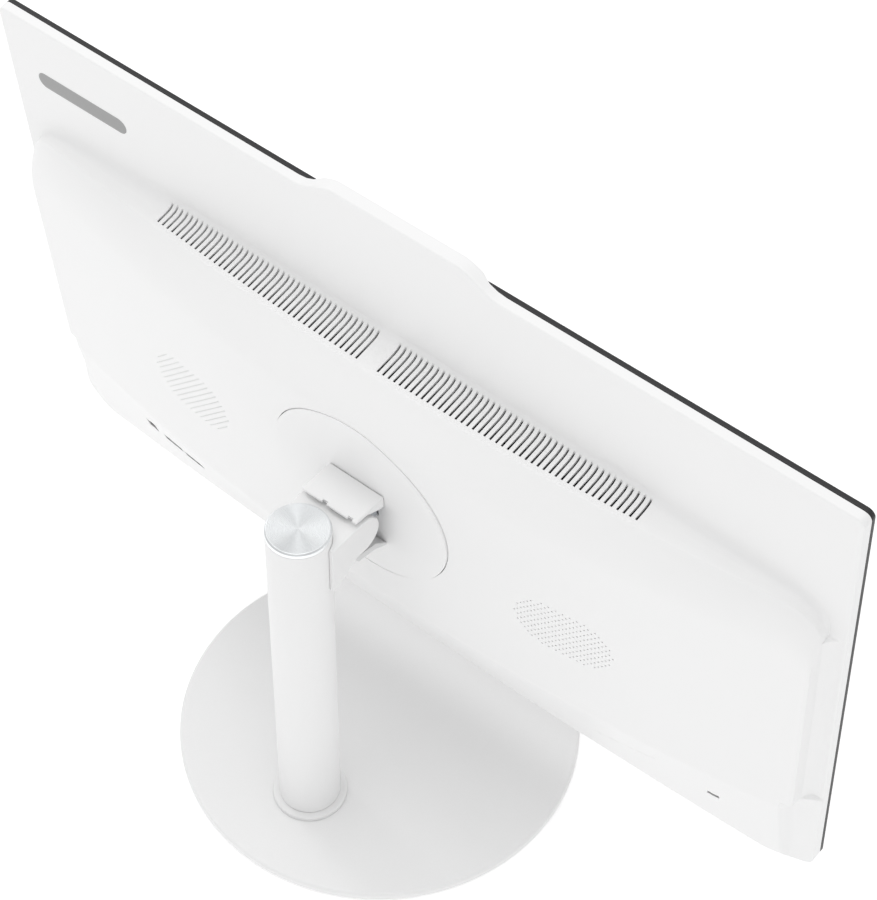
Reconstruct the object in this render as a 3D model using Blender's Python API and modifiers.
import bpy
import bmesh
import math
from mathutils import Matrix, Vector

for old in list(bpy.data.objects):
    bpy.data.objects.remove(old, do_unlink=True)

# driving dimensions, in metres and radians
GAP = 0.0003
SCREEN_W = 0.541
SCREEN_H = 0.3216
LEAN = math.radians(5.2)
BASE_R = 0.1187
COLUMN_R = 0.0175
COLUMN_Y = 0.0630
COLUMN_TOP = 0.2505
PIVOT = Vector((0, 0.0335, 0.2305))
PIVOT_DEPTH = 0.0701
PIVOT_UP = 0.1585

# worked out from the driving dimensions
HALF_W = SCREEN_W / 2
BEZEL_DEPTH = 0.00285
RIM_DEPTH = 0.0087
WALL = 0.0020
BULGE_HALF = HALF_W - 0.010
BULGE_TOP = 0.75 * SCREEN_H
BULGE_CREASE = 0.229 * SCREEN_H
CORNER_R = 0.024
FACE_DEPTH = 0.0520
EDGE_DEPTH = 0.0323
FOOT_DEPTH = 0.0235
DISC_R = 0.0588
DISC_UP = PIVOT_UP
HUMP_H = 0.0102
PLATE_TOP = 0.0065

model = bpy.data.collections.new("all_in_one_pc")
cutters = bpy.data.collections.new("cutters")
bpy.context.scene.collection.children.link(model)
bpy.context.scene.collection.children.link(cutters)


def material(name, color, roughness, metallic=0.0):
    mat = bpy.data.materials.new(name)
    mat.use_nodes = True
    shader = mat.node_tree.nodes["Principled BSDF"]
    shader.inputs["Base Color"].default_value = (*color, 1)
    shader.inputs["Roughness"].default_value = roughness
    shader.inputs["Metallic"].default_value = metallic
    mat.diffuse_color = (*color, 1)
    return mat


WHITE = (0.86, 0.86, 0.86)
BLACK = (0.02, 0.02, 0.022)
STEEL = (0.55, 0.56, 0.58)
GREEN = (0.03, 0.16, 0.07)


def empty(name, location, rotation=(0, 0, 0), parent=None):
    obj = bpy.data.objects.new(name, None)
    obj.location = location
    obj.rotation_euler = rotation
    obj.parent = parent
    model.objects.link(obj)
    return obj


# each moving group hangs from an empty on its own joint axis
swivel = empty("swivel_axis", (0, COLUMN_Y, 0))
lift = empty("lift_axis", (0, 0, 0), parent=swivel)
tilt = empty("tilt_axis", PIVOT - Vector((0, COLUMN_Y, 0)), (-LEAN, 0, 0), parent=lift)


def at(x, depth, up):
    """Point on the display, measured from the screen's bottom centre, in the tilt axis frame."""
    return Vector((x, depth - PIVOT_DEPTH, up - PIVOT_UP))


def add_object(name, bm, mat, parent=None, location=(0, 0, 0), group=model):
    mesh = bpy.data.meshes.new(name)
    bmesh.ops.recalc_face_normals(bm, faces=bm.faces)
    bm.to_mesh(mesh)
    bm.free()
    obj = bpy.data.objects.new(name, mesh)
    obj.location = location
    obj.parent = parent
    group.objects.link(obj)
    if mat:
        mesh.materials.append(mat)
    return obj


def cutter(name, bm, parent=None, location=(0, 0, 0)):
    obj = add_object(name, bm, None, parent, location, cutters)
    obj.hide_render = True
    obj.display_type = "WIRE"
    return obj


def box_mesh(size, centre=(0, 0, 0), bm=None):
    bm = bm or bmesh.new()
    move = Matrix.Translation(centre) @ Matrix.Diagonal((*size, 1))
    bmesh.ops.create_cube(bm, size=1, matrix=move)
    return bm


def rod_mesh(radius, length, axis="Z", centre=(0, 0, 0), sides=32, bm=None):
    bm = bm or bmesh.new()
    turn = {"Z": Matrix(), "X": Matrix.Rotation(math.pi / 2, 4, "Y"),
            "Y": Matrix.Rotation(math.pi / 2, 4, "X")}
    bmesh.ops.create_cone(bm, cap_ends=True, segments=sides, radius1=radius, radius2=radius,
                          depth=length, matrix=Matrix.Translation(centre) @ turn[axis])
    return bm


def box(name, size, centre, mat, parent=None, bevel=0.0):
    obj = add_object(name, box_mesh(size), mat, parent, centre)
    if bevel:
        edge = obj.modifiers.new("rounded edges", "BEVEL")
        edge.width = bevel
        edge.segments = 2
    return obj


def turned(name, profile, mat, parent=None, location=(0, 0, 0), steps=64, closed=False):
    """Profile points are (radius, height), running down the outer side."""
    bm = bmesh.new()
    verts = [bm.verts.new((r, 0, z)) for r, z in profile]
    pairs = list(zip(verts, verts[1:]))
    if closed:
        pairs.append((verts[-1], verts[0]))
    for a, b in pairs:
        bm.edges.new((a, b))
    obj = add_object(name, bm, mat, parent, location)
    screw = obj.modifiers.new("turned", "SCREW")
    screw.steps = screw.render_steps = steps
    screw.use_merge_vertices = True
    screw.merge_threshold = 0.00001
    return obj


def ring(name, outer, inner, low, high, mat, parent=None, location=(0, 0, 0), steps=64):
    profile = [(outer, high), (outer, low), (inner, low), (inner, high)]
    return turned(name, profile, mat, parent, location, steps, closed=True)


def outline_mesh(points, thickness, axis="Y"):
    """Flat outline pushed out both ways along an axis by half the thickness."""
    place = {"Y": lambda a, b, c: (a, c, b), "X": lambda a, b, c: (c, a, b),
             "Z": lambda a, b, c: (a, b, c)}[axis]
    bm = bmesh.new()
    verts = [bm.verts.new(place(a, b, -thickness / 2)) for a, b in points]
    face = bm.faces.new(verts)
    grown = bmesh.ops.extrude_face_region(bm, geom=[face])["geom"]
    moved = [v for v in grown if isinstance(v, bmesh.types.BMVert)]
    bmesh.ops.translate(bm, verts=moved, vec=place(0, 0, thickness))
    return bm


def subtract(obj, tool):
    cut = obj.modifiers.new("cut " + tool.name, "BOOLEAN")
    cut.operation = "DIFFERENCE"
    cut.object = tool


def join(obj, tool):
    union = obj.modifiers.new("join " + tool.name, "BOOLEAN")
    union.operation = "UNION"
    union.object = tool


# ---- stand: base ----

def make_base():
    white = material("white powder coat", WHITE, 0.55)
    edge = 0.0016
    plate = turned("base_plate", [(0, PLATE_TOP), (BASE_R - edge, PLATE_TOP), (BASE_R, PLATE_TOP - edge),
                                  (BASE_R, 0.0015 + edge / 2), (BASE_R - edge / 2, 0.0015), (0, 0.0015)],
                   white, steps=96)
    subtract(plate, cutter("bolt_hole", rod_mesh(0.0078, 0.02, centre=(0, COLUMN_Y, 0.004))))
    ring("base_pad", BASE_R - 0.006, BASE_R - 0.020, 0.0, 0.0015 - GAP, material("foot rubber", BLACK, 0.9))
    steel = material("zinc steel", STEEL, 0.35, 1)
    turned("swivel_bolt", [(0, 0.0150), (0.0060, 0.0150), (0.0060, PLATE_TOP), (0.0075, PLATE_TOP - 0.0001),
                           (0.0075, 0.0018), (0, 0.0018)], steel, location=(0, COLUMN_Y, 0), steps=32)
    ring("swivel_washer", 0.0105, 0.0063, PLATE_TOP + GAP, PLATE_TOP + 0.0016,
         material("acetal washer", (0.75, 0.75, 0.72), 0.5), location=(0, COLUMN_Y, 0), steps=32)


# ---- stand: mast that swivels, sleeve that lifts ----

COLLAR_TOP = PLATE_TOP + 0.0027
MAST_R = 0.0135
MAST_TOP = COLUMN_TOP - 0.012


def make_mast():
    white = material("white collar plastic", WHITE, 0.45)
    low = PLATE_TOP + GAP
    turned("swivel_collar", [(0.0207, COLLAR_TOP), (0.0215, COLLAR_TOP - 0.0008), (0.0215, low),
                             (MAST_R + GAP, low), (MAST_R + GAP, COLLAR_TOP)], white, swivel, closed=True)
    ring("inner_mast", MAST_R, MAST_R - 0.0025, low, MAST_TOP, material("drawn steel tube", STEEL, 0.3, 1),
         swivel,
         steps=48)
    ring("mast_top_bushing", COLUMN_R - 0.0022 - GAP, 0.0100, MAST_TOP + GAP, MAST_TOP + 0.005,
         material("nylon bushing", (0.8, 0.8, 0.76), 0.5), swivel, steps=48)


def make_sleeve():
    inner = COLUMN_R - 0.0022
    low = COLLAR_TOP + GAP
    cap_low = COLUMN_TOP - 0.0030
    ring("column_sleeve", COLUMN_R, inner, low, cap_low - GAP, material("white column paint", WHITE, 0.4),
         lift)
    ring("sleeve_bushing", inner - GAP, MAST_R + GAP, low + 0.002, low + 0.022,
         material("acetal bushing", (0.7, 0.7, 0.68), 0.5), lift, steps=48)
    turned("column_cap", [(0, COLUMN_TOP), (COLUMN_R - 0.0007, COLUMN_TOP), (COLUMN_R, COLUMN_TOP - 0.0007),
                          (COLUMN_R, cap_low), (0, cap_low)], material("spun aluminium", (0.8, 0.81, 0.82),
                                                                       0.3, 1),
           lift)


# ---- stand: tilting arm ----

KNUCKLE_R = 0.0115
EAR_OUT = 0.0195
EAR_IN = 0.0143


def make_arm():
    py, pz = PIVOT.y - COLUMN_Y, PIVOT.z
    arc = [math.radians(a) for a in range(90, 271, 15)]
    nose = [(py + KNUCKLE_R * math.cos(a), pz + KNUCKLE_R * math.sin(a)) for a in arc]
    back = -0.004
    outline = nose + [(py + 0.006, pz - KNUCKLE_R), (-0.0085, pz - 0.0215), (back, pz - 0.0215),
                      (back, pz + KNUCKLE_R)]
    arm = add_object("tilt_arm", outline_mesh(outline, 2 * EAR_OUT, "X"),
                     material("white arm casting", WHITE, 0.45), lift)
    slot = box_mesh((2 * EAR_IN, 0.0232, 0.060), (0, py - 0.0024, pz))
    subtract(arm, cutter("arm_fork_slot", slot, lift))
    subtract(arm, cutter("arm_column_bore", rod_mesh(COLUMN_R + GAP, 0.1, centre=(0, 0, pz), sides=64), lift))
    subtract(arm, cutter("arm_axle_bore", rod_mesh(0.0035 + GAP, 0.06, "X", (0, py, pz)), lift))
    pin = rod_mesh(0.0035, 2 * EAR_OUT - 0.001, "X", sides=24)
    add_object("tilt_axle", pin, material("hardened steel", STEEL, 0.25, 1), lift, (0, py, pz))


# ---- display: hinge ----

def make_hinge():
    steel = material("stamped steel", STEEL, 0.4, 1)
    plate_back = 0.0478
    knuckle = rod_mesh(0.0080, 2 * EAR_IN - 0.0010, "X", sides=40)
    bracket = add_object("hinge_bracket", knuckle, steel, tilt, (0, 0, 0))
    neck_front = plate_back - 0.0012
    neck = box_mesh((0.0250, PIVOT_DEPTH - neck_front, 0.0110), (0, (neck_front - PIVOT_DEPTH) / 2, 0))
    join(bracket, cutter("hinge_neck", neck, tilt))
    plate = box_mesh((0.084, 0.0025, 0.084), (0, plate_back - 0.00125 - PIVOT_DEPTH, 0))
    join(bracket, cutter("hinge_plate", plate, tilt))
    subtract(bracket, cutter("hinge_axle_bore", rod_mesh(0.0035 + GAP, 0.06, "X"), tilt))
    holes = bmesh.new()
    for sx in (-1, 1):
        for sz in (-1, 1):
            rod_mesh(0.0022, 0.02, "Y", (sx * 0.0375, plate_back - PIVOT_DEPTH, sz * 0.0375), 20, holes)
    subtract(bracket, cutter("hinge_screw_holes", holes, tilt))
    names = {(-1, -1): "mount_screw_1", (1, -1): "mount_screw_2", (-1, 1): "mount_screw_3",
             (1, 1): "mount_screw_4"}
    screw_steel = material("screw steel", STEEL, 0.3, 1)
    for (sx, sz), name in names.items():
        bm = rod_mesh(0.0035, 0.0013, "Y", (0, 0.00065 + GAP, 0), 20)
        screw = add_object(name, bm, screw_steel, tilt,
                           at(sx * 0.0375, plate_back, PIVOT_UP + sz * 0.0375))
        shank = rod_mesh(0.0019, 0.0042, "Y", (0, -0.0014, 0), 16)
        join(screw, cutter(name + "_shank", shank, tilt))
        cutters.objects[name + "_shank"].location = screw.location


def make_hinge_covers():
    white = material("white hinge plastic", WHITE, 0.5)
    disc_back = FACE_DEPTH
    disc = add_object("mount_disc", rod_mesh(DISC_R, 0.0018, "Y", sides=96),
                      material("white disc plastic", WHITE, 0.5),
                      tilt, at(0, disc_back - 0.0009, DISC_UP))
    subtract(disc, cutter("disc_neck_hole", box_mesh((0.0262, 0.02, 0.0142), at(0, disc_back, DISC_UP)),
                          tilt))
    # top shroud over the knuckle: an outline in the depth-height plane
    front = disc_back + GAP - PIVOT_DEPTH
    top_front, top_back = 0.0152, 0.0192
    rear = 0.0045
    shroud = [(front, top_front), (rear, top_back), (rear, 0.0150), (-0.0040, 0.0126), (-0.0132, 0.0080),
              (-0.0152, 0.0072), (front, 0.0072)]
    add_object("hinge_cover", outline_mesh(shroud, 0.0370, "X"), white, tilt)
    lip = [(front, -0.0300), (front, -0.0280), (-0.0100, -0.0200), (0.0050, -0.0150), (0.0065, -0.0165),
           (0.0040, -0.0205), (-0.0085, -0.0240)]
    add_object("hinge_lower_guard", outline_mesh(lip, 0.0340, "X"),
               material("light grey plastic", (0.7, 0.7, 0.7), 0.5),
               tilt)


# ---- display: rear cover ----

def bow(x, middle, end):
    """Depth of the bulge at x: deepest in the middle, falling off with the square of x."""
    return middle - (middle - end) * (x / BULGE_HALF) ** 2


def hump(x):
    """Height of the webcam hump above the top edge."""
    run = (0.062 - abs(x)) / 0.021
    return HUMP_H * min(1, max(0, run))


def section(x, inset):
    """Rear cover outline at x as (depth, up), running over the back from the top wall to the bottom wall."""
    out = max(0, abs(x) - (BULGE_HALF - CORNER_R - inset))
    reach = CORNER_R
    drop = reach - math.sqrt(max(0, reach ** 2 - min(out, reach) ** 2))
    flat = RIM_DEPTH - inset
    on_bulge = abs(x) < BULGE_HALF - inset + 0.0001
    face = bow(x, FACE_DEPTH, 0.0225) - inset if on_bulge else flat
    edge = bow(x, EDGE_DEPTH, 0.0150) - inset if on_bulge else flat
    foot = bow(min(abs(x), BULGE_HALF), FOOT_DEPTH, 0.0155) - inset
    if abs(x) > BULGE_HALF + 0.0008:
        foot = 0.0105 - inset
    crease = BULGE_CREASE - 0.009 * (x / BULGE_HALF) ** 2
    top = SCREEN_H + hump(x) - inset
    shelf = BULGE_TOP - drop * 0.9 - inset
    low = inset
    front = 0.0012 if hump(x) > 0.004 else BEZEL_DEPTH + GAP
    rise = face - edge
    # the vented wall is one plane, so it falls in proportion to its depth
    wall_end = shelf + 0.0008 - 0.07 * max(edge - flat - 0.0008, 0.0010)
    return [(front, top), (flat - 0.0012, top), (flat, top - 0.0012), (flat, shelf + 0.0020),
            (flat + 0.0008 if on_bulge else flat, shelf + 0.0008), (edge, wall_end),
            (edge + 0.45 * rise, shelf - 0.0075), (edge + 0.78 * rise, shelf - 0.0175),
            (edge + 0.94 * rise, shelf - 0.0300), (face, shelf - 0.0460), (face, crease),
            (foot, low + 0.0016), (foot - 0.0012, low), (BEZEL_DEPTH + GAP, low)]


def cover_stations(inset):
    outer = HALF_W - inset
    bulge = BULGE_HALF - inset
    half = [0.020, 0.041, 0.0525, 0.0550, 0.062, 0.100, 0.140, 0.180, 0.210, 0.234, 0.2445, 0.2515, 0.2560,
            bulge, bulge + 0.0010, outer]
    return [-x for x in reversed(half)] + half


def cover_skin(bm, inset):
    """One skin of the shell as a grid of vertices, its two side walls closed down to the front edge."""
    front = BEZEL_DEPTH + GAP
    stations = cover_stations(inset)
    rows = []
    for x in stations:
        rows.append([(x, d, u) for d, u in section(x, inset)])
    side = [(d, u) for d, u in section(stations[0], inset)]
    rows.insert(0, [(stations[0], front, u) for d, u in side])
    rows.append([(stations[-1], front, u) for d, u in side])
    return [[bm.verts.new(at(*p)) for p in row] for row in rows]


def make_rear_cover():
    bm = bmesh.new()
    outer, inner = cover_skin(bm, 0.0), cover_skin(bm, WALL)
    for grid in (outer, inner):
        for a, b in zip(grid, grid[1:]):
            for i in range(len(a) - 1):
                bm.faces.new((a[i], b[i], b[i + 1], a[i + 1]))
    for i in (0, -1):
        for j in range(len(outer) - 1):
            bm.faces.new((outer[j][i], outer[j + 1][i], inner[j + 1][i], inner[j][i]))
    for j in (0, -1):
        for i in range(len(outer[j]) - 1):
            bm.faces.new((outer[j][i], outer[j][i + 1], inner[j][i + 1], inner[j][i]))
    bmesh.ops.remove_doubles(bm, verts=bm.verts, dist=0.00001)
    bmesh.ops.dissolve_degenerate(bm, edges=bm.edges, dist=0.00001)
    cover = add_object("rear_cover", bm, material("white ABS", WHITE, 0.5), tilt)
    openings = rod_mesh(DISC_R + GAP, 0.02, "Y", at(0, FACE_DEPTH, DISC_UP), 96)
    vent_slots(openings)
    port_holes(openings)
    subtract(cover, cutter("cover_openings", openings, tilt))


VENT_PITCH = 0.003568


def vent_slots(bm):
    for i in range(-44, 45):
        if 1 <= i <= 3:
            continue
        x = i * VENT_PITCH
        far = bow(x, EDGE_DEPTH, 0.0150) - 0.0045
        near = RIM_DEPTH + 0.0022
        box_mesh((0.0013, far - near, 0.012), at(x, (near + far) / 2, BULGE_TOP), bm)


# where each socket sits on the lower back: name, x, up, width, height
PORTS = {"dc_jack": (0.190, 0.0430, 0.0082, 0.0082),
         "hdmi_port_1": (0.172, 0.0410, 0.0152, 0.0056),
         "hdmi_port_2": (0.1545, 0.0395, 0.0152, 0.0056),
         "lock_slot": (-0.2150, 0.0390, 0.0072, 0.0034)}
SIDE_PORTS = {"side_usb_1": 0.1420, "side_usb_2": 0.1230, "audio_jack": 0.1060}
BUTTON_X, BUTTON_DEPTH = 0.2350, 0.0105


def slope_depth(x, up):
    """Depth of the lower back's outer face at x and up."""
    face, foot = bow(x, FACE_DEPTH, 0.0225), bow(x, FOOT_DEPTH, 0.0155)
    crease = BULGE_CREASE - 0.009 * (x / BULGE_HALF) ** 2
    return foot + (face - foot) * up / crease


def port_holes(bm):
    for x, up, wide, tall in PORTS.values():
        box_mesh((wide, 0.014, tall), at(x, slope_depth(x, up), up), bm)
    for name, up in SIDE_PORTS.items():
        tall = 0.0070 if name == "audio_jack" else 0.0136
        box_mesh((0.014, 0.0062, tall), at(BULGE_HALF, 0.0155, up), bm)
    rod_mesh(0.0043, 0.02, "Z", at(BUTTON_X, BUTTON_DEPTH, 0), 24, bm)


# ---- display: front, screen and sockets ----

def make_front():
    black = material("black bezel ABS", BLACK, 0.5)
    bezel = box("front_bezel", (SCREEN_W, BEZEL_DEPTH, SCREEN_H), at(0, BEZEL_DEPTH / 2, SCREEN_H / 2),
                black, tilt)
    window = box_mesh((SCREEN_W - 0.0140, 0.02, SCREEN_H - 0.0251), at(0, 0, SCREEN_H / 2 + 0.0055))
    subtract(bezel, cutter("screen_window", window, tilt))
    pocket = box_mesh((SCREEN_W - 0.0030, 0.01, SCREEN_H - 0.0030), at(0, 0.0011 + 0.005, SCREEN_H / 2))
    subtract(bezel, cutter("screen_pocket", pocket, tilt))
    glass = material("screen glass", (0.012, 0.012, 0.015), 0.15)
    box("screen_panel", (SCREEN_W - 0.0040, 0.0030, SCREEN_H - 0.0040),
        at(0, 0.0014 + 0.0015, SCREEN_H / 2), glass,
        tilt)
    tray = material("galvanised steel", STEEL, 0.4, 1)
    box("screen_chassis", (SCREEN_W - 0.0070, 0.0010, SCREEN_H - 0.0070), at(0, 0.0052, SCREEN_H / 2), tray,
        tilt)


def make_webcam():
    black = material("black webcam window", BLACK, 0.2)
    up = SCREEN_H + 0.0042
    plate = box("webcam_window", (0.072, 0.0012, 0.0070), at(0, 0.0030, up), black, tilt)
    subtract(plate, cutter("lens_hole", rod_mesh(0.0031, 0.01, "Y", at(0, 0.003, up), 24), tilt))
    lens = rod_mesh(0.0028, 0.0026, "Y", sides=24)
    add_object("webcam_lens", lens, material("lens glass", (0.02, 0.02, 0.04), 0.05), tilt, at(0, 0.0038, up))
    box("webcam_board", (0.060, 0.0008, 0.0064), at(0, 0.0058, up), material("webcam board", GREEN, 0.5),
        tilt)
    box("webcam_shutter", (0.0090, 0.0008, 0.0060), at(0.0100, 0.0017, up),
        material("shutter plastic", (0.03, 0.03, 0.03), 0.6), tilt)


def make_sockets():
    shell = material("socket steel", STEEL, 0.3, 1)
    for name, (x, up, wide, tall) in PORTS.items():
        if name == "lock_slot":
            continue
        depth = slope_depth(x, up) - 0.0085
        w, t = wide - 2 * GAP, tall - 2 * GAP
        body = box(name, (w, 0.0120, t), at(x, depth, up), shell, tilt)
        inner = box_mesh((w - 0.0012, 0.0100, t - 0.0012), at(x, depth + 0.0030, up))
        if name == "dc_jack":
            inner = rod_mesh(0.0031, 0.0100, "Y", at(x, depth + 0.0030, up), 24)
        subtract(body, cutter(name + "_mouth", inner, tilt))
        tongue = box_mesh((w - 0.0040, 0.0090, 0.0014), at(x, depth + 0.0005, up))
        if name == "dc_jack":
            tongue = rod_mesh(0.0010, 0.0100, "Y", at(x, depth, up), 16)
        join(body, cutter(name + "_tongue", tongue, tilt))
    for name, up in SIDE_PORTS.items():
        tall = (0.0070 if name == "audio_jack" else 0.0136) - 2 * GAP
        mid = BULGE_HALF - 0.0080
        body = box(name, (0.0130, 0.0056, tall), at(mid, 0.0155, up), shell, tilt)
        if name == "audio_jack":
            subtract(body, cutter(name + "_mouth", rod_mesh(0.0018, 0.012, "X", at(mid + 0.002, 0.0155, up),
                                                            20), tilt))
            continue
        inner = box_mesh((0.0110, 0.0044, tall - 0.0012), at(mid + 0.0030, 0.0155, up))
        subtract(body, cutter(name + "_mouth", inner, tilt))
        tongue = box_mesh((0.0100, 0.0015, tall - 0.0030), at(mid, 0.0155, up))
        join(body, cutter(name + "_tongue", tongue, tilt))
    box("lock_anchor", (0.0100, 0.0010, 0.0080), at(-0.2150, slope_depth(-0.2150, 0.0390) - 0.0062, 0.0390),
        shell, tilt)


def make_buttons():
    button = rod_mesh(0.0040, 0.0038, "Z", sides=24)
    add_object("power_button", button, material("button plastic", (0.8, 0.8, 0.8), 0.4), tilt,
               at(BUTTON_X, BUTTON_DEPTH, 0.0015))
    box("power_switch", (0.0100, 0.0050, 0.0030), at(BUTTON_X, BUTTON_DEPTH, 0.0070),
        material("switch plastic", (0.05, 0.05, 0.05), 0.5), tilt)


# ---- display: what it holds inside ----

def make_inside():
    steel = material("mount steel", STEEL, 0.4, 1)
    reach, high, low = 0.046, 0.0450, 0.0061
    hat = [(-reach - 0.014, low), (-reach, low), (-reach, high - 0.002), (reach, high - 0.002), (reach, low),
           (reach + 0.014, low), (reach + 0.014, low + 0.002), (reach + 0.002, low + 0.002), (reach + 0.002,
                                                                                              high),
           (-reach - 0.002, high), (-reach - 0.002, low + 0.002), (-reach - 0.014, low + 0.002)]
    frame = add_object("mount_frame", outline_mesh(hat, 0.092, "Z"), steel, tilt, at(0, 0, DISC_UP))
    holes = bmesh.new()
    for sx in (-1, 1):
        for sz in (-1, 1):
            rod_mesh(0.0022, 0.02, "Y", at(sx * 0.0375, high, DISC_UP + sz * 0.0375), 20, holes)
    subtract(frame, cutter("mount_frame_holes", holes, tilt))

    board = material("mainboard laminate", GREEN, 0.5)
    box("mainboard", (0.076, 0.0016, 0.138), at(0.101, 0.0120, 0.153), board, tilt)
    box("memory_module_1", (0.0676, 0.0034, 0.030), at(0.102, 0.0148, 0.1015),
        material("memory 1", GREEN, 0.4), tilt)
    box("memory_module_2", (0.0676, 0.0034, 0.030), at(0.102, 0.0186, 0.1015),
        material("memory 2", GREEN, 0.4), tilt)
    box("solid_state_drive", (0.022, 0.0026, 0.080), at(0.0745, 0.0144, 0.160),
        material("drive board", BLACK, 0.4),
        tilt)
    box("wireless_card", (0.022, 0.0024, 0.030), at(0.124, 0.0143, 0.203),
        material("radio card", GREEN, 0.4), tilt)
    copper = material("copper", (0.72, 0.35, 0.2), 0.3, 1)
    box("processor_cold_plate", (0.036, 0.0040, 0.036), at(0.110, 0.0151, 0.150), copper, tilt)
    make_heat_pipe(material("copper pipe", (0.72, 0.35, 0.2), 0.3, 1))
    make_fins()
    make_fan()
    box("hard_drive", (0.100, 0.0095, 0.070), at(-0.125, 0.0140, 0.110),
        material("drive aluminium", STEEL, 0.35, 1),
        tilt, 0.001)
    for name, x in (("speaker_left", 0.129), ("speaker_right", -0.129)):
        box(name, (0.060, 0.0120, 0.032), at(x, 0.0315, 0.1366), material(name + " box", BLACK, 0.6), tilt,
            0.002)


def make_heat_pipe(mat):
    curve = bpy.data.curves.new("heat_pipe", "CURVE")
    curve.dimensions = "3D"
    curve.bevel_depth = 0.0025
    curve.bevel_resolution = 2
    curve.use_fill_caps = True
    # up from the cold plate, a quarter bend, then along behind the fins
    bend = 0.020
    corner = (0.110 + bend, 0.2295 - bend)
    path = [(0.110, 0.140), (0.110, 0.175)]
    path += [(corner[0] - bend * math.cos(a), corner[1] + bend * math.sin(a))
             for a in [math.radians(d) for d in range(0, 91, 15)]]
    path += [(0.160, 0.2295), (0.196, 0.2295)]
    spline = curve.splines.new("POLY")
    spline.points.add(len(path) - 1)
    for point, (x, up) in zip(spline.points, path):
        point.co = (*at(x, 0.0201, up), 1)
    obj = bpy.data.objects.new("heat_pipe", curve)
    obj.parent = tilt
    curve.materials.append(mat)
    model.objects.link(obj)


def make_fins():
    spread = 0.050
    count = 12
    step = spread / count
    edge = []
    # a comb outline: a solid back along the pipe with fins hanging from it
    for i in range(count):
        x = -spread / 2 + i * step
        edge += [(x, 0.0), (x, -0.0100), (x + 0.0012, -0.0100), (x + 0.0012, 0.0)]
    points = edge + [(spread / 2, 0.0), (spread / 2, 0.0015), (-spread / 2, 0.0015)]
    add_object("cooling_fins", outline_mesh(points, 0.0060, "Y"),
               material("fin aluminium", (0.7, 0.71, 0.72), 0.35, 1),
               tilt, at(0.170, 0.0143, 0.2330))


def make_fan():
    x, up = 0.170, 0.1890
    black = material("fan plastic", BLACK, 0.5)
    housing = box("fan_housing", (0.058, 0.0100, 0.058), at(x, 0.0170, up), black, tilt)
    subtract(housing, cutter("fan_pocket", rod_mesh(0.0265, 0.0100, "Y", at(x, 0.0180, up), 40), tilt))
    blades = 9
    points = []
    for i in range(blades):
        a = 2 * math.pi * i / blades
        for r, turn in ((0.0105, 0.0), (0.0250, 0.24), (0.0250, 0.32), (0.0105, 0.16)):
            points.append((r * math.cos(a + turn), r * math.sin(a + turn)))
    add_object("fan_rotor", outline_mesh(points, 0.0070, "Y"),
               material("rotor plastic", (0.06, 0.06, 0.06), 0.5), tilt,
               at(x, 0.0177, up))


make_base()
make_mast()
make_sleeve()
make_arm()
make_hinge()
make_hinge_covers()
make_rear_cover()
make_front()
make_webcam()
make_sockets()
make_buttons()
make_inside()
bpy.context.view_layer.update()
